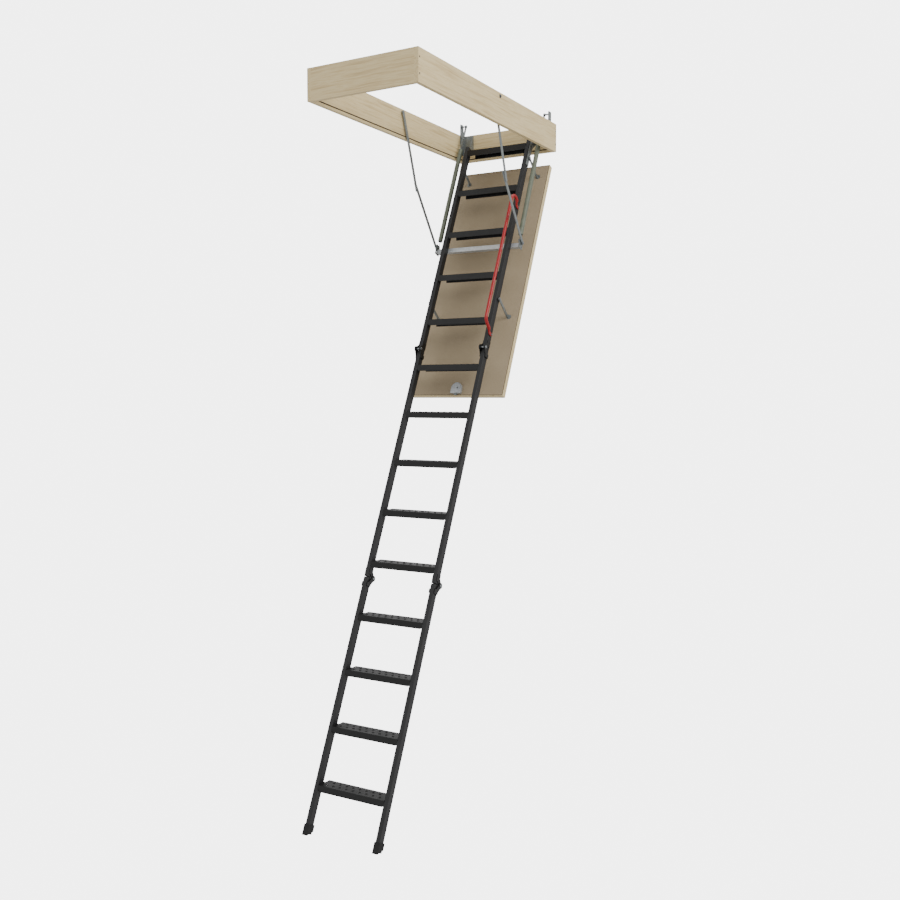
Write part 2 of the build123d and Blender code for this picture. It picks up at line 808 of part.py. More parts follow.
def arm_links(x, from_y, from_z, to_y, to_z, tail):
    """A pair of flat links between two pins, tail past the first one.

    A link with a tail carries the knee rivet's closed head in place of a hole.
    """
    length = hypot(to_y - from_y, to_z - from_z)
    turn = degrees(atan2(to_z - from_z, to_y - from_y))
    with BuildPart() as pair:
        for side in (-1, 1):
            with BuildSketch(Plane.YZ.offset(side * x)):
                with Locations(Location((from_y, from_z, 0), (0, 0, turn))):
                    with Locations(((length - tail) / 2, 0)):
                        SlotCenterToCenter(length + tail, arm_width)
                    ends = ((0, 0), (length, 0)) if tail == 0 else ((length, 0),)
                    with Locations(*ends):
                        Circle(arm_bolt_radius + pin_clearance, mode=Mode.SUBTRACT)
            extrude(amount=side * arm_thickness)
            if tail > 0:
                with BuildSketch(Plane.YZ.offset(side * x)):
                    with Locations((from_y, from_z)):
                        Circle(7)
                extrude(amount=-side * 2, taper=25)
    return pair.part


save(arm_links(arm_upper_x, arm_top_y, arm_top_z, knee_y, knee_z, 0), "arms_upper")
save(
    arm_links(arm_lower_x, knee_y, knee_z, arm_foot.Y, arm_foot.Z, arm_knee_overlap),
    "arms_lower",
)

with BuildPart() as knee_rivets:
    for side in (-1, 1):
        head_x = arm_upper_x + arm_thickness + side_clearance
        with BuildSketch(Plane.YZ.offset(side * (arm_upper_x - 0.6))):
            with Locations((knee_y, knee_z)):
                Circle(arm_bolt_radius)
        extrude(amount=side * (head_x - arm_upper_x + 0.6))
        with BuildSketch(Plane.YZ.offset(side * head_x)):
            with Locations((knee_y, knee_z)):
                Circle(7)
        extrude(amount=side * 2, taper=25)
save(knee_rivets.part, "knee_rivets")

# ---- springs ---------------------------------------------------------------------
spring_reach = hypot(hook_point.Y - anchor_y, hook_point.Z - anchor_z)
spring_dir = (0, (hook_point.Y - anchor_y) / spring_reach, (hook_point.Z - anchor_z) / spring_reach)


def spring_side(x):
    """Plane across the spring at x: local x runs from the anchor to the hook."""
    return Plane(origin=(x, anchor_y, anchor_z), x_dir=spring_dir, z_dir=(1, 0, 0))


def spring_cut(x, along):
    """Plane square to the spring's line, along it from the anchor."""
    origin = Vector(x, anchor_y, anchor_z) + Vector(*spring_dir) * along
    return Plane(origin=origin, x_dir=(1, 0, 0), z_dir=spring_dir)


strap_end = sleeve_start + strap_overlap
draw_wire_radius = 2.5
coil_start = sleeve_start + 134
coil_end = sleeve_start + sleeve_length - 27
coil_pitch = 8
coil_radius = sleeve_radius - sleeve_wall - 0.7
coil_wire = 3
hook_wire_radius = 1.7

with BuildPart() as spring_straps:
    for side in (-1, 1):
        with BuildSketch(spring_side(side * (spring_x - strap_thickness / 2))):
            with Locations((strap_end / 2, 0)):
                SlotCenterToCenter(strap_end, strap_width)
            with Locations((0, 0)):
                Circle(4 + pin_clearance, mode=Mode.SUBTRACT)
            with Locations(*[(24 + 16 * n, 0) for n in range(8)]):
                Circle(3.5, mode=Mode.SUBTRACT)
        extrude(amount=side * strap_thickness)
        with BuildSketch(spring_cut(side * spring_x, strap_end)):
            Circle(draw_wire_radius)
        extrude(amount=coil_start - strap_end + 30)
save(spring_straps.part, "spring_straps")

with BuildPart() as spring_sleeves:
    for side in (-1, 1):
        with BuildSketch(spring_cut(side * spring_x, sleeve_start)):
            Circle(sleeve_radius)
            Circle(sleeve_radius - sleeve_wall, mode=Mode.SUBTRACT)
        extrude(amount=sleeve_length)
save(spring_sleeves.part, "spring_sleeves")

with BuildPart() as spring_coils:
    turns = int((coil_end - coil_start) / coil_pitch)
    for side in (-1, 1):
        for turn in range(turns):
            with BuildSketch(spring_cut(side * spring_x, coil_start + turn * coil_pitch)):
                Circle(coil_radius)
                Circle(coil_radius - coil_wire, mode=Mode.SUBTRACT)
            extrude(amount=coil_wire)
        with BuildSketch(spring_cut(side * spring_x, coil_start)):
            Circle(coil_radius - 1)
            Circle(coil_radius - coil_wire + 1, mode=Mode.SUBTRACT)
        extrude(amount=(turns - 1) * coil_pitch + coil_wire)
save(spring_coils.part, "spring_coils")

with BuildPart() as spring_hooks:
    for side in (-1, 1):
        cap = sleeve_start + sleeve_length - 14
        with BuildSketch(spring_cut(side * spring_x, cap)):
            Circle(sleeve_radius - sleeve_wall - 0.4)
        extrude(amount=10)
        with BuildSketch(spring_cut(side * spring_x, cap + 10)):
            Circle(hook_wire_radius)
        extrude(amount=spring_reach - cap - 17)
        with BuildSketch(spring_side(side * (spring_x - 2))):
            with Locations((spring_reach, 0)):
                Circle(9)
                Circle(5, mode=Mode.SUBTRACT)
        extrude(amount=side * 4)
save(spring_hooks.part, "spring_hooks")
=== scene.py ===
import bmesh
import bpy
import json
import math
import numpy as np
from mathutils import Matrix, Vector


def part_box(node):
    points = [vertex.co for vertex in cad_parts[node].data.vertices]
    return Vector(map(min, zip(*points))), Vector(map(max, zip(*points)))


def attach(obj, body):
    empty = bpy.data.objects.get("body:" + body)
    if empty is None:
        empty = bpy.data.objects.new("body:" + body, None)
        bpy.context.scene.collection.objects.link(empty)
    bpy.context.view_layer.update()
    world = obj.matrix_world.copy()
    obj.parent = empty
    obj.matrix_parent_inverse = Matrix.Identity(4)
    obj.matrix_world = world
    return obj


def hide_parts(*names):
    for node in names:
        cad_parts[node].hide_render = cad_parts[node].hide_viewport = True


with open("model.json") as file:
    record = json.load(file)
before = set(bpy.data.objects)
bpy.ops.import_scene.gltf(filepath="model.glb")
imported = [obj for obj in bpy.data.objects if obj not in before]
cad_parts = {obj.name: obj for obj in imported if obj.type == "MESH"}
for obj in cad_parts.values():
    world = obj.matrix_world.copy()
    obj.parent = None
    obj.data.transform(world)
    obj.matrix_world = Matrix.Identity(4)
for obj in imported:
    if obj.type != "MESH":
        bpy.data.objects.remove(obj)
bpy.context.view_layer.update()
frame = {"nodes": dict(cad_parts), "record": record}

print("frame loaded:", len(frame["nodes"]), "nodes")

mm = 0.001

# the ladder's own frame: s runs down the slope, depth runs behind its front line
slope = {
    "angle": math.radians(65.9),
    "frontLineY": 562.6 * mm,
}
downSlope = np.array([0.0, -math.cos(slope["angle"]), -math.sin(slope["angle"])])
toBack = np.array([0.0, math.sin(slope["angle"]), -math.cos(slope["angle"])])


def onLadder(x, s, depth):
    # place = front line + s * down the slope + depth * towards the back, from millimetres
    x, s, depth = np.broadcast_arrays(*(np.asarray(v, dtype=float) for v in (x, s, depth)))
    place = np.zeros(x.shape + (3,))
    place[..., 0] = x * mm
    place[..., 1] = slope["frontLineY"]
    return place + (s * mm)[..., None] * downSlope + (depth * mm)[..., None] * toBack

# mesh making
def meshPiece(name, points, quads, tris=()):
    # one object at the origin from a vertex array and its faces
    faces = [tuple(face) for face in np.asarray(quads).reshape(-1, 4)]
    faces += [tuple(face) for face in np.asarray(tris, dtype=int).reshape(-1, 3)]
    mesh = bpy.data.meshes.new(name)
    mesh.from_pydata(np.asarray(points).reshape(-1, 3).tolist(), [], faces)
    mesh.polygons.foreach_set("use_smooth", np.ones(len(faces), dtype=bool))
    mesh.update()
    piece = bpy.data.objects.new(name, mesh)
    bpy.context.scene.collection.objects.link(piece)
    return piece


def gridFaces(rows, columns, wrapRows, wrapColumns, start=0):
    # quads of a grid of points[row, column], joined round where it wraps
    rowIndex = np.arange(rows if wrapRows else rows - 1)
    columnIndex = np.arange(columns if wrapColumns else columns - 1)
    r, c = np.meshgrid(rowIndex, columnIndex, indexing="ij")
    nextRow, nextColumn = (r + 1) % rows, (c + 1) % columns
    corners = (r * columns + c, r * columns + nextColumn,
               nextRow * columns + nextColumn, nextRow * columns + c)
    return np.stack(corners, axis=-1).reshape(-1, 4) + start


def endCap(ring, centre, flip):
    # a fan of triangles from a ring of indices to one centre index
    after = np.roll(ring, -1)
    fan = (after, ring) if flip else (ring, after)
    return np.stack((*fan, np.full(len(ring), centre)), axis=-1)


def tubeParts(rings, start=0):
    # rings[i, j]: closed rings along a path, both ends closed with a fan
    count, around = rings.shape[:2]
    quads = gridFaces(count, around, False, True, start)
    centres = np.stack((rings[0].mean(axis=0), rings[-1].mean(axis=0)))
    base = start + count * around
    first = np.arange(around) + start
    last = first + (count - 1) * around
    tris = np.concatenate((endCap(first, base, True), endCap(last, base + 1, False)))
    points = np.concatenate((rings.reshape(-1, 3), centres))
    return points, quads, tris


def joinParts(name, makers):
    # several closed tubes in one mesh
    points, quads, tris, start = [], [], [], 0
    for rings in makers:
        p, q, t = tubeParts(rings, start)
        points.append(p)
        quads.append(q)
        tris.append(t)
        start += len(p)
    piece = meshPiece(name, np.concatenate(points), np.concatenate(quads), np.concatenate(tris))
    faceOut(piece)
    return piece


def faceOut(piece):
    # joins doubled points and turns every face outwards
    work = bmesh.new()
    work.from_mesh(piece.data)
    bmesh.ops.remove_doubles(work, verts=work.verts, dist=1e-6)
    bmesh.ops.recalc_face_normals(work, faces=work.faces)
    work.to_mesh(piece.data)
    work.free()


def headRings(centre, axis, profile, around, outline=None):
    # rings of a turned head: profile rows are (radius, height) along axis,
    # outline(angle) scales the radius for a head that isn't round
    axis = np.asarray(axis, dtype=float)
    sideways = np.cross(axis, [0.0, 0.0, 1.0])
    if np.linalg.norm(sideways) < 0.1:
        sideways = np.cross(axis, [0.0, 1.0, 0.0])
    sideways /= np.linalg.norm(sideways)
    up = np.cross(axis, sideways)
    angle = np.linspace(0, 2 * math.pi, around, endpoint=False)
    scale = np.ones(around) if outline is None else outline(angle)
    radius, height = np.asarray(profile, dtype=float).T * mm
    ring = np.cos(angle)[:, None] * sideways + np.sin(angle)[:, None] * up
    rings = radius[:, None, None] * scale[None, :, None] * ring[None]
    return np.asarray(centre) + rings + height[:, None, None] * axis


def hexOutline(angle):
    # distance to a hexagon's side, its corners slightly eased
    turned = (angle + math.pi / 6) % (math.pi / 3) - math.pi / 6
    return np.minimum(0.9 / np.cos(turned), 1.0)

# materials
def hexColour(text):
    # sRGB hex to linear RGBA
    srgb = np.array([int(text[i:i + 2], 16) for i in (1, 3, 5)]) / 255
    linear = np.where(srgb <= 0.04045, srgb / 12.92, ((srgb + 0.055) / 1.055) ** 2.4)
    return (*linear.tolist(), 1.0)


def addNode(tree, kind, links=None, **settings):
    # one node: plain settings, socket values by name, and links into its sockets
    node = tree.nodes.new(kind)
    for key, value in settings.items():
        setattr(node, key, value)
    for key, value in (links or {}).items():
        if isinstance(value, bpy.types.NodeSocket):
            tree.links.new(value, node.inputs[key])
        else:
            node.inputs[key].default_value = value
    return node


def newMaterial(name, **sockets):
    material = bpy.data.materials.new(name)
    material.use_nodes = True
    tree = material.node_tree
    shader = tree.nodes["Principled BSDF"]
    for key, value in sockets.items():
        shader.inputs[key.replace("_", " ")].default_value = value
    return material, tree, shader


def ramp(tree, factor, stops):
    node = addNode(tree, "ShaderNodeValToRGB", {"Fac": factor})
    elements = node.color_ramp.elements
    while len(elements) < len(stops):
        elements.new(0.5)
    for element, (position, colour) in zip(elements, stops):
        element.position = position
        element.color = hexColour(colour)
    return node.outputs["Color"]


def greyRange(tree, factor, low, high):
    return addNode(tree, "ShaderNodeMapRange", {
        "Value": factor, "From Min": 0.3, "From Max": 0.7, "To Min": low, "To Max": high,
    }).outputs["Result"]


def bumpFrom(tree, height, distance, strength=1.0):
    return addNode(tree, "ShaderNodeBump", {
        "Height": height, "Distance": distance, "Strength": strength,
    }).outputs["Normal"]


def planedSpruce(name, turn, shift, tones):
    # planed, unvarnished spruce: straight pale grain, its growth lines 9 mm apart,
    # wider than real ones so that they show
    timber = {"lineSpacing": 9 * mm, "stretch": 34, "pore": 1.2 * mm, "wander": 540 * mm}
    material, tree, shader = newMaterial(name, Roughness=0.62)
    place = addNode(tree, "ShaderNodeTexCoord").outputs["Object"]
    along = addNode(tree, "ShaderNodeMapping", {
        "Vector": place, "Rotation": turn, "Location": shift,
    }).outputs["Vector"]
    wander = addNode(tree, "ShaderNodeTexNoise", {
        "Vector": along, "Scale": 1 / timber["wander"], "Detail": 2.0,
    }).outputs["Color"]
    bent = addNode(tree, "ShaderNodeVectorMath", {0: wander, 1: (0.03, 0.02, 0.03)},
                   operation="MULTIPLY").outputs["Vector"]
    bentPlace = addNode(tree, "ShaderNodeVectorMath", {0: along, 1: bent}).outputs["Vector"]
    stretched = addNode(tree, "ShaderNodeMapping", {
        "Vector": bentPlace, "Scale": (1.0, 1.0 / timber["stretch"], 1.0),
    }).outputs["Vector"]
    lines = addNode(tree, "ShaderNodeTexNoise", {
        "Vector": stretched, "Scale": 1 / timber["lineSpacing"], "Detail": 5.0,
        "Roughness": 0.6,
    }).outputs["Fac"]
    pores = addNode(tree, "ShaderNodeTexNoise", {
        "Vector": stretched, "Scale": 1 / timber["pore"], "Detail": 2.0,
    }).outputs["Fac"]
    grain = ramp(tree, lines, ((0.30, tones[0]), (0.47, tones[1]), (0.56, tones[2]), (0.72, tones[3])))
    fleck = ramp(tree, pores, ((0.35, "#e9e0cd"), (0.6, "#ffffff")))
    colour = addNode(tree, "ShaderNodeMix", {0: 0.5, 6: grain, 7: fleck},
                     data_type="RGBA", blend_type="MULTIPLY").outputs[2]
    tree.links.new(colour, shader.inputs["Base Color"])
    tree.links.new(greyRange(tree, lines, 0.55, 0.72), shader.inputs["Roughness"])
    tree.links.new(bumpFrom(tree, lines, 0.4 * mm, 0.5), shader.inputs["Normal"])
    return material


def powderCoat(name, deep, light, rough, texture=1.6, peelDepth=0.25, sheen=0.35):
    # baked polyester powder on steel: fine orange peel, low sheen, faint handling scuffs
    material, tree, shader = newMaterial(name, Metallic=0.0, IOR=1.5, Specular_IOR_Level=sheen)
    place = addNode(tree, "ShaderNodeTexCoord").outputs["Object"]
    peel = addNode(tree, "ShaderNodeTexNoise", {
        "Vector": place, "Scale": 1 / (texture * mm), "Detail": 3.0, "Roughness": 0.55,
    }).outputs["Fac"]
    scuff = addNode(tree, "ShaderNodeTexNoise", {
        "Vector": place, "Scale": 1 / (45 * mm), "Detail": 6.0, "Roughness": 0.65,
    }).outputs["Fac"]
    tree.links.new(ramp(tree, scuff, ((0.32, deep), (0.68, light))), shader.inputs["Base Color"])
    tree.links.new(greyRange(tree, scuff, rough - 0.06, rough + 0.1), shader.inputs["Roughness"])
    tree.links.new(bumpFrom(tree, peel, peelDepth * mm, 0.7), shader.inputs["Normal"])
    return material


def zincPlate(name, dark, light, spangle, rough, metallic=0.85, stainDepth=0.08):
    # zinc on steel: crystals that each catch the light a little differently
    material, tree, shader = newMaterial(name, Metallic=metallic)
    place = addNode(tree, "ShaderNodeTexCoord").outputs["Object"]
    crystal = addNode(tree, "ShaderNodeTexVoronoi", {
        "Vector": place, "Scale": 1 / (spangle * mm), "Randomness": 1.0,
    }).outputs["Color"]
    facet = addNode(tree, "ShaderNodeSeparateColor", {"Color": crystal}).outputs["Red"]
    stain = addNode(tree, "ShaderNodeTexNoise", {
        "Vector": place, "Scale": 1 / (30 * mm), "Detail": 4.0,
    }).outputs["Fac"]
    mixed = addNode(tree, "ShaderNodeMath", {0: facet, 1: stain}, operation="MULTIPLY_ADD")
    mixed.inputs[2].default_value = 0.15
    tree.links.new(ramp(tree, mixed.outputs["Value"], ((0.1, dark), (0.65, light))),
                   shader.inputs["Base Color"])
    tree.links.new(greyRange(tree, facet, rough - 0.07, rough + 0.08), shader.inputs["Roughness"])
    tree.links.new(bumpFrom(tree, stain, stainDepth * mm, 0.25), shader.inputs["Normal"])
    return material


def mouldedRubber(name, dark, light, grit, rough):
    # moulded rubber or foam: matt, slightly dusty, fine grit
    material, tree, shader = newMaterial(name, IOR=1.5)
    place = addNode(tree, "ShaderNodeTexCoord").outputs["Object"]
    fine = addNode(tree, "ShaderNodeTexNoise", {
        "Vector": place, "Scale": 1 / (grit * mm), "Detail": 4.0,
    }).outputs["Fac"]
    dust = addNode(tree, "ShaderNodeTexNoise", {
        "Vector": place, "Scale": 1 / (22 * mm), "Detail": 3.0,
    }).outputs["Fac"]
    tree.links.new(ramp(tree, dust, ((0.35, dark), (0.7, light))), shader.inputs["Base Color"])
    tree.links.new(greyRange(tree, dust, rough - 0.05, rough + 0.08), shader.inputs["Roughness"])
    tree.links.new(bumpFrom(tree, fine, 0.5 * mm, 0.6), shader.inputs["Normal"])
    return material


def pressedBoard(name, tones, fibre, rough):
    # hard fibreboard: short pressed fibres, soft mottling, matt
    material, tree, shader = newMaterial(name, IOR=1.45)
    place = addNode(tree, "ShaderNodeTexCoord").outputs["Object"]
    mottle = addNode(tree, "ShaderNodeTexNoise", {
        "Vector": place, "Scale": 1 / (140 * mm), "Detail": 3.0, "Roughness": 0.5,
    }).outputs["Fac"]
    fibres = addNode(tree, "ShaderNodeTexNoise", {
        "Vector": place, "Scale": 1 / (fibre * mm), "Detail": 4.0, "Distortion": 0.8,
    }).outputs["Fac"]
    base = ramp(tree, mottle, ((0.3, tones[0]), (0.7, tones[1])))
    speck = ramp(tree, fibres, ((0.35, tones[2]), (0.6, "#ffffff")))
    colour = addNode(tree, "ShaderNodeMix", {0: 0.6, 6: base, 7: speck},
                     data_type="RGBA", blend_type="MULTIPLY").outputs[2]
    tree.links.new(colour, shader.inputs["Base Color"])
    tree.links.new(greyRange(tree, fibres, rough - 0.05, rough + 0.06), shader.inputs["Roughness"])
    tree.links.new(bumpFrom(tree, fibres, 0.3 * mm, 0.4), shader.inputs["Normal"])
    return material


spruceTones = ("#b59f72", "#cab688", "#d2c094", "#c0ab7b")
lipTones = ("#b8a274", "#ccb88a", "#d5c397", "#c3ae7e")
quarter = math.pi / 2
spruceAlongY = planedSpruce("spruceBoardLong", (0, 0, 0), (0.3, 0, 0.1), spruceTones)
spruceAlongX = planedSpruce("spruceBoardEnd", (0, 0, quarter), (0, 0.7, 0.2), spruceTones)
spruceSlope = planedSpruce("spruceLipping", (slope["angle"], 0, 0), (0.1, 0, 0.4), lipTones)
fibreBoard = pressedBoard("fibreBoardTaupe", ("#9a8b72", "#9f9077", "#d8cebd"), 1.6, 0.85)
paintedBoard = pressedBoard("paintedBoardWhite", ("#ebebe8", "#f1f1ee", "#e6e6e3"), 3.0, 0.5)
stileCoat = powderCoat("graphitePowderCoat", "#171718", "#1c1c1d", 0.46)
treadCoat = powderCoat("blackPowderCoat", "#0a0a0a", "#0f0f0f", 0.42)
leafCoat = powderCoat("blackPressedSteel", "#080808", "#0d0d0d", 0.38)
railCoat = powderCoat("redPowderCoat", "#8a0006", "#940209", 0.30, 3.0, 0.04, 0.45)
sleeveCoat = powderCoat("greyGreenLacquer", "#555a4b", "#64695a", 0.40)
galvanised = zincPlate("galvanisedSteel", "#6b706f", "#8b908f", 5, 0.42, 0.7)
paleZinc = zincPlate("passivatedZincPale", "#a9adae", "#c6c9ca", 5, 0.44, 0.6)
screwSteel = zincPlate("dullScrewSteel", "#2c2e30", "#45484b", 3, 0.42, 0.8)
brightZinc = zincPlate("brightZincBolt", "#5c6062", "#a3a7a9", 4, 0.30, 0.95)
springWire = zincPlate("oiledSpringWire", "#4c4e50", "#6c6f71", 3, 0.35, 0.95)
shoeRubber = mouldedRubber("shoeRubberBlack", "#040404", "#070707", 1.4, 0.78)
sealFoam = mouldedRubber("sealFoamBrown", "#2a1c12", "#3a291c", 1.8, 0.85)
print("materials made")

bySlot = {
    "pine": spruceAlongY, "hatch_board": fibreBoard, "white_board": paintedBoard,
    "seal_rubber": sealFoam, "foot_rubber": shoeRubber, "galvanised_steel": galvanised,
    "bolt_steel": brightZinc, "spring_sleeve": sleeveCoat, "spring_steel": springWire,
    "dark_powder_coat": stileCoat, "black_powder_coat": treadCoat, "red_powder_coat": railCoat,
}
byNode = {"casing_end_hinge": spruceAlongX, "casing_end_lock": spruceAlongX, "hatch_frame": spruceSlope}
byNode.update({name: paleZinc for name in ("crossbar", "lock_case", "striker_plate")})
byNode.update({name: leafCoat for name in frame["nodes"] if name.startswith("fold_leaf")})
slotOf = {part["node"]: part["material_slot"] for part in frame["record"]["subparts"]}
for nodeName, node in frame["nodes"].items():
    finish = byNode.get(nodeName, bySlot[slotOf[nodeName]])
    for materialSlot in node.material_slots:
        materialSlot.material = finish


def dress(piece, material, body):
    piece.data.materials.append(material)
    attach(piece, body)
    return piece

# treads
treadDetail = {
    "count": 14, "frontRow": 0.30, "backRow": 0.68, "frontHoles": 9, "backHoles": 8,
    "pitch": 36.0, "going": 77.0, "collarInner": 4.0, "collarOuter": 6.6, "collarRise": 1.3,
    "collarSunk": 0.4, "collarAround": 14, "collarAcross": 5,
    "sections": (("ladder_upper", 5), ("ladder_middle", 5), ("ladder_lower", 4)),
}
bodyOfTread = [body for body, count in treadDetail["sections"] for _ in range(count)]


def collarMesh(name, centres):
    # a pressed collar round each hole: height = rise * sin(pi * t) ** 0.8, with t from
    # 0 at the outer edge to 1 at the hole's rim, and both edges sunk into the tread
    around, across = treadDetail["collarAround"], treadDetail["collarAcross"]
    angle = np.linspace(0, 2 * math.pi, around, endpoint=False)
    t = np.linspace(0, 1, across)
    radius = treadDetail["collarOuter"] + t * (treadDetail["collarInner"] - treadDetail["collarOuter"])
    height = treadDetail["collarRise"] * np.sin(math.pi * t) ** 0.8
    height[0] = height[-1] = -treadDetail["collarSunk"]
    ring = np.stack((radius[:, None] * np.cos(angle), radius[:, None] * np.sin(angle),
                     np.repeat(height[:, None], around, axis=1)), axis=-1) * mm
    points = centres[:, None, None, :] + ring[None]
    quads = gridFaces(across, around, False, True)
    quads = np.concatenate([quads + i * across * around for i in range(len(centres))])
    return meshPiece(name, points, quads[:, ::-1])


for number in range(treadDetail["count"]):
    low, high = (np.array(corner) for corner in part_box("tread_%02d" % (number + 1)))
    rows = []
    for share, count in ((treadDetail["frontRow"], treadDetail["frontHoles"]),
                         (treadDetail["backRow"], treadDetail["backHoles"])):
        x = (np.arange(count) - (count - 1) / 2) * treadDetail["pitch"] * mm
        y = np.full(count, low[1] + share * treadDetail["going"] * mm)
        rows.append(np.stack((x, y, np.full(count, high[2])), axis=-1))
    collars = collarMesh("treadCollars_%02d" % (number + 1), np.concatenate(rows))
    dress(collars, treadCoat, bodyOfTread[number])

weld = {
    "radius": 1.9, "ripple": 0.35, "pitch": 3.2, "inset": 178.3, "steps": 90, "around": 8,
    "offset": 2.6, "down": 17.0, "back": 38.0, "taper": 2.0, "tip": 0.15,
}


def weldRings(low, high, side):
    # a fillet bead: radius * (1 + ripple * |sin|) swept up the front flange's end and back
    # along the top's underside, at the stile's inner face
    front, top = low[1], high[2]
    offset = weld["offset"] * mm
    path = np.array([[front + offset, top - weld["down"] * mm], [front + offset, top - offset],
                     [front + weld["back"] * mm, top - offset]])
    lengths = np.linalg.norm(np.diff(path, axis=0), axis=1)
    along = np.linspace(0, lengths.sum(), weld["steps"])
    marks = np.concatenate(([0], np.cumsum(lengths)))
    y = np.interp(along, marks, path[:, 0])
    z = np.interp(along, marks, path[:, 1])
    ripple = np.abs(np.sin(math.pi * along / mm / weld["pitch"]))
    radius = weld["radius"] * mm * (1 + weld["ripple"] * ripple)
    fromEnd = np.minimum(along, along[::-1])
    radius *= np.clip(fromEnd / (weld["taper"] * mm), weld["tip"], 1)
    angle = np.linspace(0, 2 * math.pi, weld["around"], endpoint=False)
    heading = np.gradient(np.stack((y, z), axis=-1), axis=0)
    heading /= np.linalg.norm(heading, axis=1)[:, None]
    across = np.stack((-heading[:, 1], heading[:, 0]), axis=-1)
    rings = np.zeros((len(along), weld["around"], 3))
    rings[..., 0] = side * weld["inset"] * mm + radius[:, None] * np.cos(angle)
    rings[..., 1] = y[:, None] + radius[:, None] * np.sin(angle) * across[:, :1]
    rings[..., 2] = z[:, None] + radius[:, None] * np.sin(angle) * across[:, 1:]
    return rings


started = 0
for body, count in treadDetail["sections"]:
    beads = []
    for number in range(started, started + count):
        low, high = (np.array(corner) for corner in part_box("tread_%02d" % (number + 1)))
        beads += [weldRings(low, high, side) for side in (-1, 1)]
    started += count
    dress(joinParts("treadWelds_" + body, beads), stileCoat, body)
print("tread collars and welds made")

# handrail
rail = {
    "x": 211.0, "tabX": 203.6, "topS": 361.0, "bottomS": 1107.0, "topLead": 64.0,
    "bottomLead": 38.0, "standOff": 78.0, "bend": 34.0, "tabBend": 12.0, "radius": 8.25,
    "tabEnd": 27.0, "flatHalfWidth": 9.2, "flatHalfThick": 2.6, "flatLength": 24.0,
    "easeLength": 34.0, "arcSteps": 14, "pathSteps": 260, "around": 24,
}


def railPath():
    # straight runs joined by arcs of one radius, in (s, depth), as dense points
    corners = np.array([
        (rail["topS"], rail["tabEnd"]), (rail["topS"], 0.0),
        (rail["topS"] - rail["topLead"], -rail["standOff"]),
        (rail["bottomS"] - rail["bottomLead"], -rail["standOff"]),
        (rail["bottomS"], 0.0), (rail["bottomS"], rail["tabEnd"]),
    ])
    radii = [rail["tabBend"], rail["bend"], rail["bend"], rail["tabBend"]]
    points = [corners[0]]
    for i, radius in enumerate(radii, start=1):
        inward = corners[i - 1] - corners[i]
        outward = corners[i + 1] - corners[i]
        inward /= np.linalg.norm(inward)
        outward /= np.linalg.norm(outward)
        half = math.acos(float(np.clip(inward @ outward, -1, 1))) / 2
        cut = radius / math.tan(half)
        middle = corners[i] + (inward + outward) / np.linalg.norm(inward + outward) * radius / math.sin(half)
        a = corners[i] + inward * cut - middle
        b = corners[i] + outward * cut - middle
        start, finish = math.atan2(a[1], a[0]), math.atan2(b[1], b[0])
        turn = (finish - start + math.pi) % (2 * math.pi) - math.pi
        sweep = start + turn * np.linspace(0, 1, rail["arcSteps"])
        points.extend(middle + radius * np.stack((np.cos(sweep), np.sin(sweep)), axis=-1))
    points.append(corners[-1])
    points = np.array(points)
    lengths = np.concatenate(([0], np.cumsum(np.linalg.norm(np.diff(points, axis=0), axis=1))))
    even = np.linspace(0, lengths[-1], rail["pathSteps"])
    path = [np.interp(even, lengths, points[:, i]) for i in (0, 1)]
    return np.stack(path, axis=-1), even


def railRings():
    # the section eases from a flattened tab at each end to a round tube:
    # half width and half thickness are blends of (flat, round) by a smooth step
    path, along = railPath()
    fromEnd = np.minimum(along, along[::-1])
    blend = np.clip((fromEnd - rail["flatLength"]) / rail["easeLength"], 0, 1)
    blend = blend * blend * (3 - 2 * blend)
    tip = np.sqrt(np.clip(1 - (1 - np.clip(fromEnd / rail["flatHalfWidth"], 0, 1)) ** 2, 0.02, 1))
    wide = (rail["flatHalfWidth"] + blend * (rail["radius"] - rail["flatHalfWidth"])) * tip
    thick = rail["flatHalfThick"] + blend * (rail["radius"] - rail["flatHalfThick"])
    x = rail["tabX"] + blend * (rail["x"] - rail["tabX"])
    heading = np.gradient(path, axis=0)
    heading /= np.linalg.norm(heading, axis=1)[:, None]
    across = np.stack((-heading[:, 1], heading[:, 0]), axis=-1)
    angle = np.linspace(0, 2 * math.pi, rail["around"], endpoint=False)
    # a superellipse keeps the tab's faces flat: power 0.6 at the tab, 1 on the tube
    power = (0.6 + 0.4 * blend)[:, None]
    c = np.sign(np.cos(angle)) * np.abs(np.cos(angle)) ** power
    s = np.sign(np.sin(angle)) * np.abs(np.sin(angle)) ** power
    return onLadder(x[:, None] + thick[:, None] * c,
                    path[:, :1] + wide[:, None] * s * across[:, :1],
                    path[:, 1:] + wide[:, None] * s * across[:, 1:])


railTube = joinParts("handrailTube", [railRings()])
dress(railTube, railCoat, "ladder_upper")
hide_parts("handrail")
print("handrail made")

# fixings
fixings = {
    "sideFace": 295.0, "armY": 44.0, "armZ": 131.0, "screwRadius": 4.9, "screwDome": 0.5,
    "screwSunk": 0.7, "screwHeights": (38.0, 108.0), "endInset": 10.5,
    "slotWidth": 0.55, "slotReach": 2.4, "slotDepth": 1.1,
}


def domeProfile(radius, height, steps=7):
    # a low dome: height * cos of the angle out from its middle
    t = np.linspace(1, 0.04, steps)
    return [(radius, -0.8)] + [(radius * k, height * math.sqrt(max(0.0, 1 - k * k)) + 0.15) for k in t]


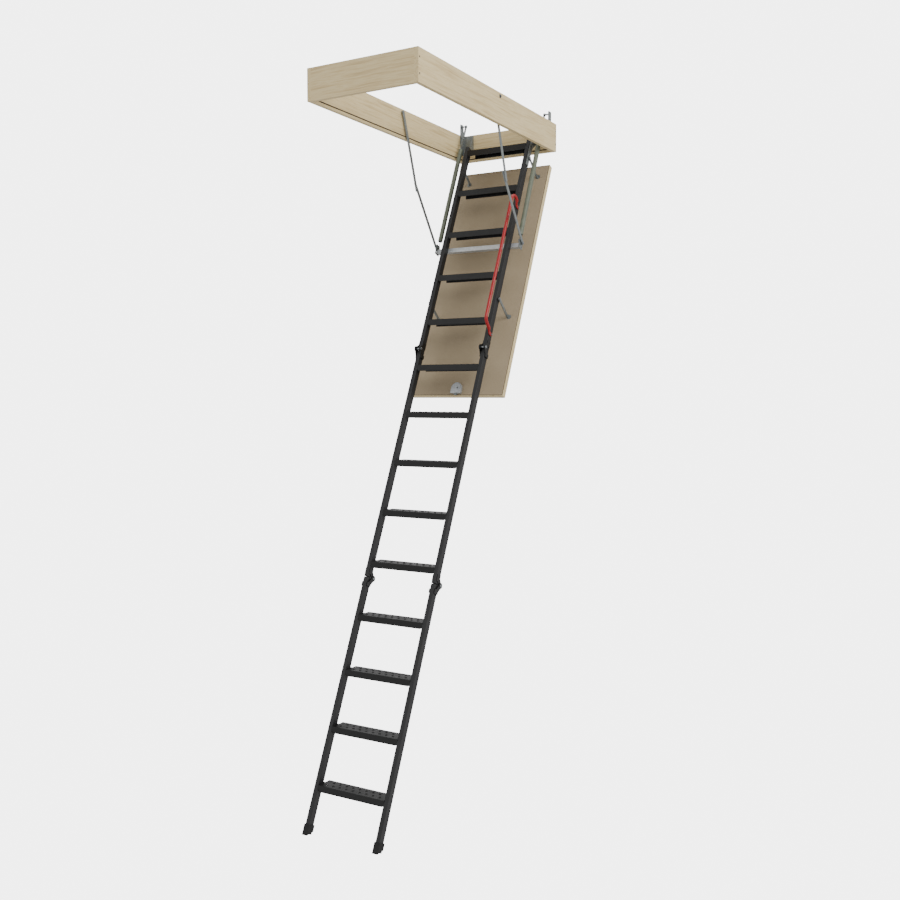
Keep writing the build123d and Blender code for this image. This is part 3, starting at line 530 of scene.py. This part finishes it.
def crossSlot(rings, axis, centre):
    # presses a cross into a head: points within the slot's width move back along the axis
    axis = np.asarray(axis, dtype=float)
    away = rings - centre
    flat = away - (away @ axis)[..., None] * axis
    a, b = np.abs(flat[..., 1]), np.abs(flat[..., 2])
    inside = (np.minimum(a, b) < fixings["slotWidth"] * mm) & (np.maximum(a, b) < fixings["slotReach"] * mm)
    return rings - inside[..., None] * fixings["slotDepth"] * mm * axis


armHeads = []
for side in (-1, 1):
    centre = np.array([side * fixings["sideFace"] * mm, fixings["armY"] * mm, fixings["armZ"] * mm])
    washer = [(9.5, -0.2), (9.5, 0.9), (9.0, 1.2), (5.0, 1.2)]
    armHeads.append(headRings(centre, (side, 0, 0), washer, 32))
    hexHead = [(6.6, 0.8), (6.6, 4.2), (6.0, 4.8), (0.4, 5.0)]
    armHeads.append(headRings(centre, (side, 0, 0), hexHead, 48, hexOutline))
dress(joinParts("armBoltHeads", armHeads), screwSteel, "casing")

screwHeads = []
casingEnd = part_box("casing_side_right")[1][1]
for side in (-1, 1):
    for end in (-1, 1):
        for height in fixings["screwHeights"]:
            centre = np.array([side * (fixings["sideFace"] - fixings["screwSunk"]) * mm,
                               end * (casingEnd - fixings["endInset"] * mm), height * mm])
            dome = domeProfile(fixings["screwRadius"], fixings["screwDome"], 12)
            head = headRings(centre, (side, 0, 0), dome, 40)
            screwHeads.append(crossSlot(head, (side, 0, 0), centre))
dress(joinParts("cornerScrewHeads", screwHeads), screwSteel, "casing")
print("fixings made")

# casing seal
seal = {"x": 274.0, "y": 694.0, "low": 12.0, "high": 18.0, "lip": 2.0, "root": 4.6}


def sealRings():
    # foam strip with a round nose: the section is carried round the opening, its
    # corners mitred because each point keeps the same offset from both sides
    t = np.linspace(-quarter, quarter, 9)
    middle, half = (seal["low"] + seal["high"]) / 2, (seal["high"] - seal["low"]) / 2
    out = np.concatenate(([seal["root"]], [0.0], -seal["lip"] * np.cos(t), [0.0], [seal["root"]]))
    up = np.concatenate(([-half], [-half], half * np.sin(t), [half], [half])) + middle
    steps = 40
    u = np.linspace(-1, 1, steps, endpoint=False)
    one = np.ones(steps)
    unitX = np.concatenate((u, one, -u, -one))
    unitY = np.concatenate((-one, u, one, -u))
    rings = np.zeros((4 * steps, len(out), 3))
    rings[..., 0] = unitX[:, None] * (seal["x"] + out) * mm
    rings[..., 1] = unitY[:, None] * (seal["y"] + out) * mm
    rings[..., 2] = up * mm
    return rings


sealRing = sealRings()
sealPiece = meshPiece("sealStrip", sealRing, gridFaces(*sealRing.shape[:2], True, True))
faceOut(sealPiece)
dress(sealPiece, sealFoam, "casing")
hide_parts("casing_seal")
print("seal made")

# hatch joint line: a dark bead painted as the shadow in the gap between the board and its lipping
gapShadeLine = {"halfX": 267.0, "top": 16.0, "bottom": 1385.0, "depth": 144.0, "width": 1.3, "proud": 0.35}


def gapShadeRings():
    # a thin dark bead round the board where it meets the lipping: painted shade standing in for the shadow
    # in the gap there
    angle = np.linspace(0, 2 * math.pi, 8, endpoint=False)
    offset = gapShadeLine["width"] * np.cos(angle)
    lift = gapShadeLine["proud"] * np.sin(angle)
    steps = 30
    u = np.linspace(-1, 1, steps, endpoint=False)
    one = np.ones(steps)
    unitX = np.concatenate((u, one, -u, -one))[:, None]
    unitS = np.concatenate((-one, u, one, -u))[:, None]
    middle, half = (gapShadeLine["top"] + gapShadeLine["bottom"]) / 2, (gapShadeLine["bottom"] - gapShadeLine["top"]) / 2
    return onLadder(unitX * (gapShadeLine["halfX"] + offset), middle + unitS * (half + offset),
                    gapShadeLine["depth"] - lift + 0 * unitX)


gapShadeRing = gapShadeRings()
gapShadePiece = meshPiece("hatchGapShadeLine", gapShadeRing, gridFaces(*gapShadeRing.shape[:2], True, True))
faceOut(gapShadePiece)
# the seal foam's dark brown here paints the gap's shade; it is not a real seal
dress(gapShadePiece, sealFoam, "hatch")

# camera and light
view = {"lens": 40.6, "place": (2.5897, -4.4378, -1.3289), "down": 3.035, "turn": 29.895}
cameraData = bpy.data.cameras.new("viewCamera")
cameraData.lens = view["lens"]
cameraData.sensor_width = 36
cameraData.clip_end = 100
camera = bpy.data.objects.new("viewCamera", cameraData)
camera.location = view["place"]
camera.rotation_euler = (math.radians(90 - view["down"]), 0, math.radians(view["turn"]))
bpy.context.scene.collection.objects.link(camera)
bpy.context.scene.camera = camera

studio = {
    "world": 0.9,
    "backdrop": 5.0,
    "key": {"place": (6.0, -2.0, 2.4), "size": 3.5, "power": 380},
    "fill": {"place": (-3.5, -5.0, 0.5), "size": 4.0, "power": 40},
    "top": {"place": (0.5, 1.5, 4.0), "size": 4.0, "power": 120},
}
aimAt = np.array([0.0, 0.0, -1.2])
for lightName in ("key", "fill", "top"):
    settings = studio[lightName]
    data = bpy.data.lights.new(lightName + "Light", "AREA")
    data.size = settings["size"]
    data.energy = settings["power"]
    light = bpy.data.objects.new(lightName + "Light", data)
    light.location = settings["place"]
    towards = aimAt - np.array(settings["place"])
    light.rotation_euler = (
        math.atan2(math.hypot(towards[0], towards[1]), -towards[2]),
        0,
        math.atan2(towards[1], towards[0]) - quarter,
    )
    bpy.context.scene.collection.objects.link(light)

world = bpy.data.worlds.new("studioWorld")
world.use_nodes = True
worldTree = world.node_tree
glow = worldTree.nodes["Background"]
glow.inputs["Color"].default_value = (1, 1, 1, 1)
glow.inputs["Strength"].default_value = studio["world"]
backdrop = addNode(worldTree, "ShaderNodeBackground", {"Strength": studio["backdrop"]})
backdrop.inputs["Color"].default_value = (1, 1, 1, 1)
seen = addNode(worldTree, "ShaderNodeLightPath").outputs["Is Camera Ray"]
sky = addNode(worldTree, "ShaderNodeMixShader", {
    0: seen, 1: glow.outputs["Background"], 2: backdrop.outputs["Background"],
}).outputs["Shader"]
worldTree.links.new(sky, worldTree.nodes["World Output"].inputs["Surface"])
bpy.context.scene.world = world

print("camera and lights placed")
